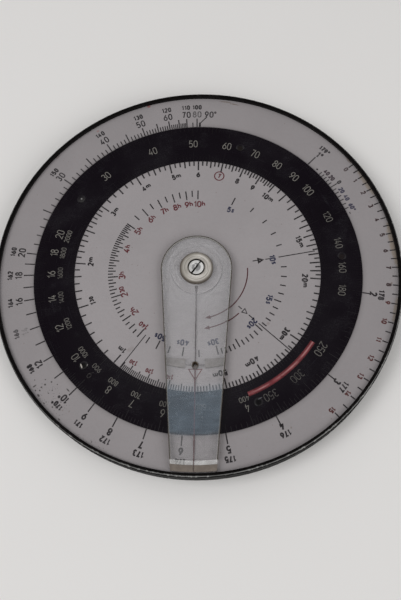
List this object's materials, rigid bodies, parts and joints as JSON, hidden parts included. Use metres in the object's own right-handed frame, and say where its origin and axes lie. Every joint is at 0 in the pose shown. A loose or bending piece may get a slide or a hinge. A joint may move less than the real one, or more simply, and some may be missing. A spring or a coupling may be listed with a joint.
{
  "type": "circular flight computer",
  "caption": "Round navigation slide rule with fixed scale plates, a turning black speed ring, a clear pivoting pointer and a clear wind disc on the rear, in a black hoop.",
  "frame": {"origin": "the pivot axis at the height of the rear rim's rest face", "axes": "+Z along the pivot axis towards the front scales; the pointer rests along -Y"},
  "size_m": [0.15, 0.15, 0.0112],
  "materials": {
    "black_lacquer": "gloss black lacquer worn to bright metal on the outer edges",
    "bare_aluminium": "plain rolled sheet",
    "white_enamel": "satin white enamel with printed scales",
    "black_enamel": "gloss black enamel with fine turning scratches",
    "red_inlay": "glossy red inlaid strip",
    "felt": "dense felt",
    "brass": "turned",
    "rivet_metal": "plain",
    "steel": "plain",
    "pale_fibre": "pale pressed fibre",
    "clear_acrylic": "clear acrylic with fine scratches",
    "nickel": "worn nickel plate with turning marks",
    "screw_nickel": "bright nickel",
    "printed_card": "matt printed sheet",
    "clear_disc": "clear acrylic"
  },
  "bodies": {
    "case": {"rim_hoop": "black_lacquer", "base_plate": "bare_aluminium", "outer_spacer": "bare_aluminium", "inner_spacer": "bare_aluminium", "outer_scale_ring": "white_enamel", "inner_scale_disc": "white_enamel", "friction_felt": "felt", "centre_hub": "brass", "hub_rivets": "rivet_metal", "ledge_screws": "steel", "outer_ring_rivets": "rivet_metal", "inner_disc_rivets": "rivet_metal", "dowel_pins": "steel", "slip_washer": "pale_fibre", "spring_washer": "steel", "pivot_screw": "screw_nickel", "grid_card": "printed_card", "compass_ring": "white_enamel", "compass_ring_screws": "steel", "rear_slip_washer": "pale_fibre", "rear_spring_washer": "steel", "rear_nut": "nickel"},
    "speed_ring": {"speed_ring": "black_enamel", "range_band": "red_inlay"},
    "pointer": {"pointer_arm": "clear_acrylic", "pointer_bush": "nickel", "pointer_collar": "nickel"},
    "wind_disc": {"wind_disc": "clear_disc", "wind_disc_bush": "brass"}
  },
  "joints": [
    {"name": "speed_ring_turn", "type": "hinge", "parent": "case", "child": "speed_ring", "pos_m": [0, 0, 0.007], "axis": [0, 0, 1], "continuous": true},
    {"name": "pointer_turn", "type": "hinge", "parent": "case", "child": "pointer", "pos_m": [0, 0, 0.0085], "axis": [0, 0, 1], "continuous": true},
    {"name": "wind_disc_turn", "type": "hinge", "parent": "case", "child": "wind_disc", "pos_m": [0, 0, 0.0016], "axis": [0, 0, 1], "continuous": true}
  ]
}
